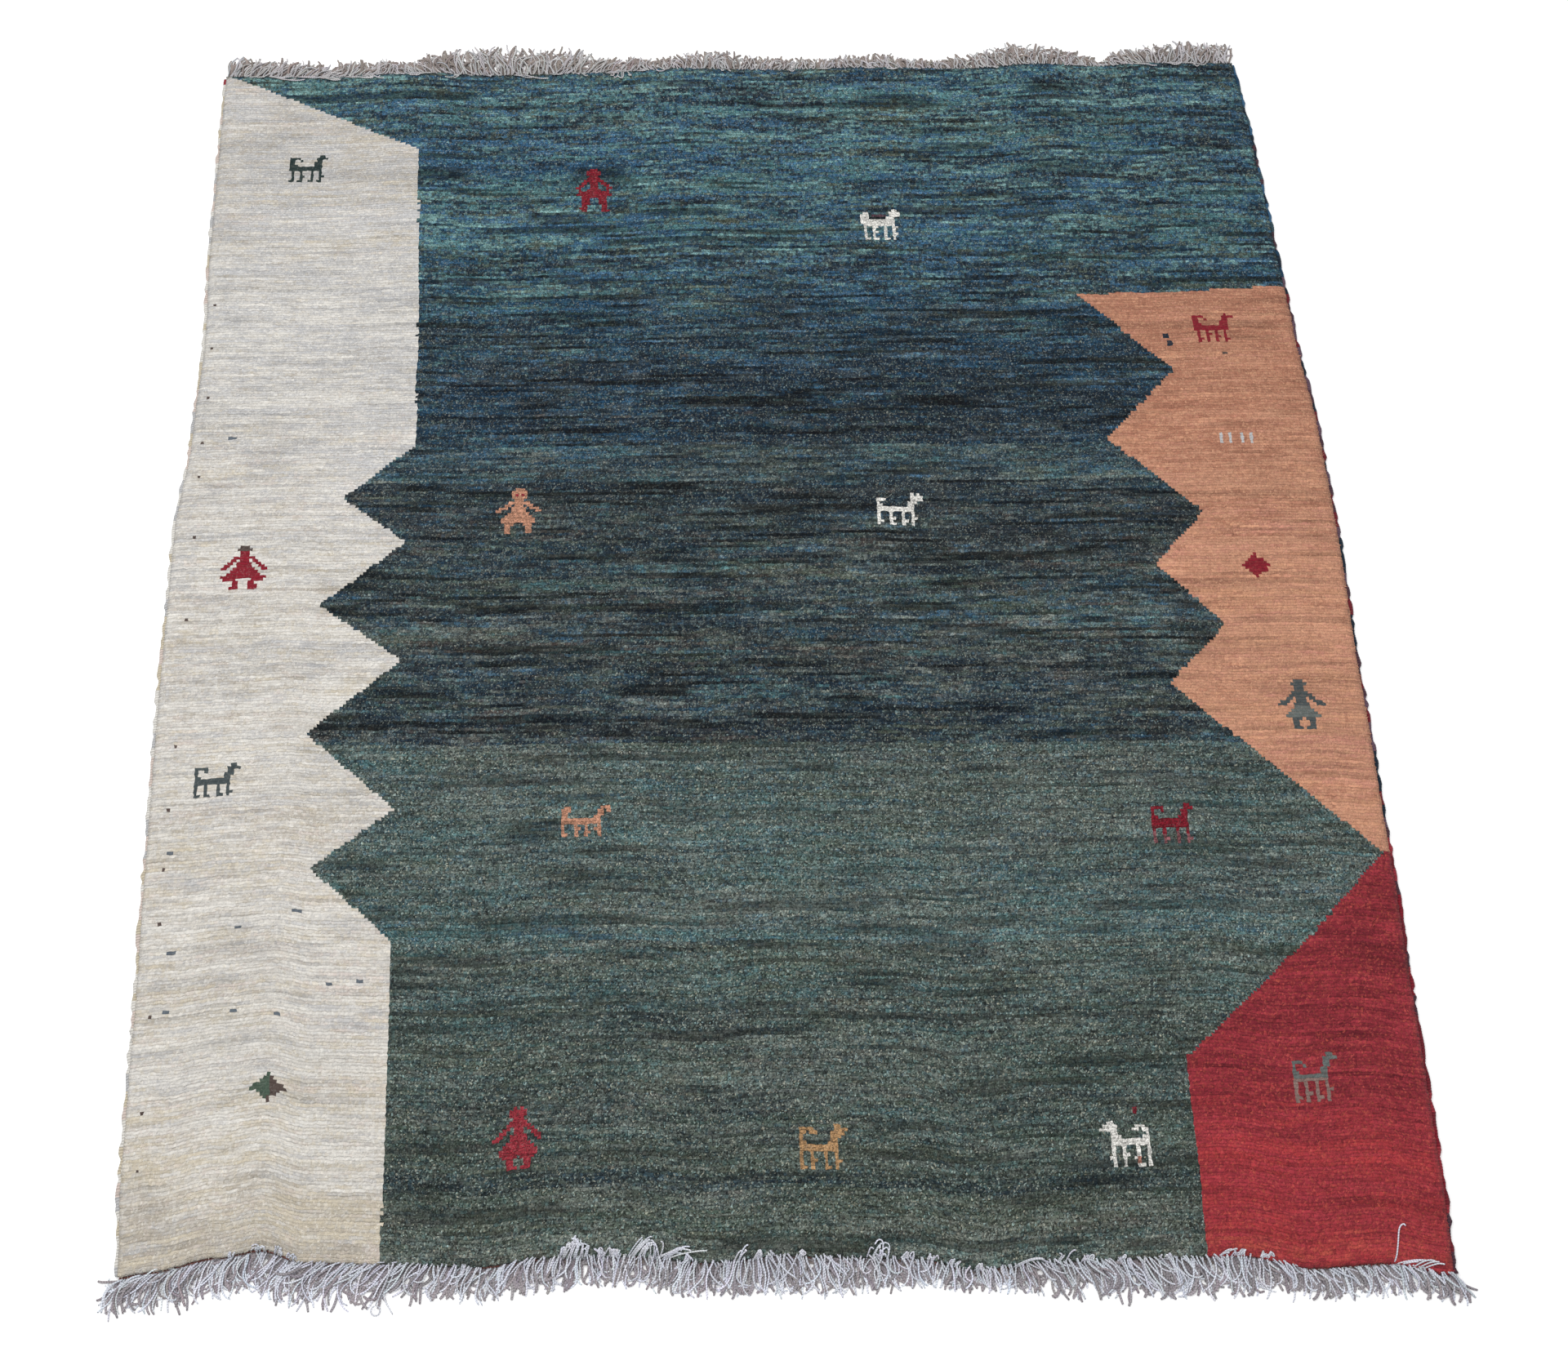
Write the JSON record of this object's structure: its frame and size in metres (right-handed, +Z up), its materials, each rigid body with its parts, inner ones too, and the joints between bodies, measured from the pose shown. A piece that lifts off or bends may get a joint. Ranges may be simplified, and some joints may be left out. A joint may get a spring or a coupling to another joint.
{
  "type": "gabbeh rug",
  "caption": "Thick hand-knotted wool gabbeh rug lying flat, with a deep even pile, overcast sides, a twined row across each end and loose warp fringes.",
  "frame": {"origin": "on the floor under the middle of the whole rug, fringes and selvedges included", "axes": "+X across the rug to the right side, +Y along the rug from the near end to the far end, +Z up out of the pile"},
  "size_m": [1.591, 1.8264, 0.0128],
  "materials": {
    "wool_pile": "cut wool pile in blue, green, cream, salmon and red yarns, matt with a soft sheen",
    "selvedge_wool": "plum and navy wool overcast, matt",
    "end_row_wool": "red-brown twined wool, matt",
    "warp_yarn": "undyed grey-white plied yarn, matt"
  },
  "bodies": {
    "root": {"pile_field": "wool_pile", "selvedge_left": "selvedge_wool", "selvedge_right": "selvedge_wool", "end_row_near": "end_row_wool", "end_row_far": "end_row_wool", "fringe_near": "warp_yarn", "fringe_far": "warp_yarn"}
  },
  "joints": []
}
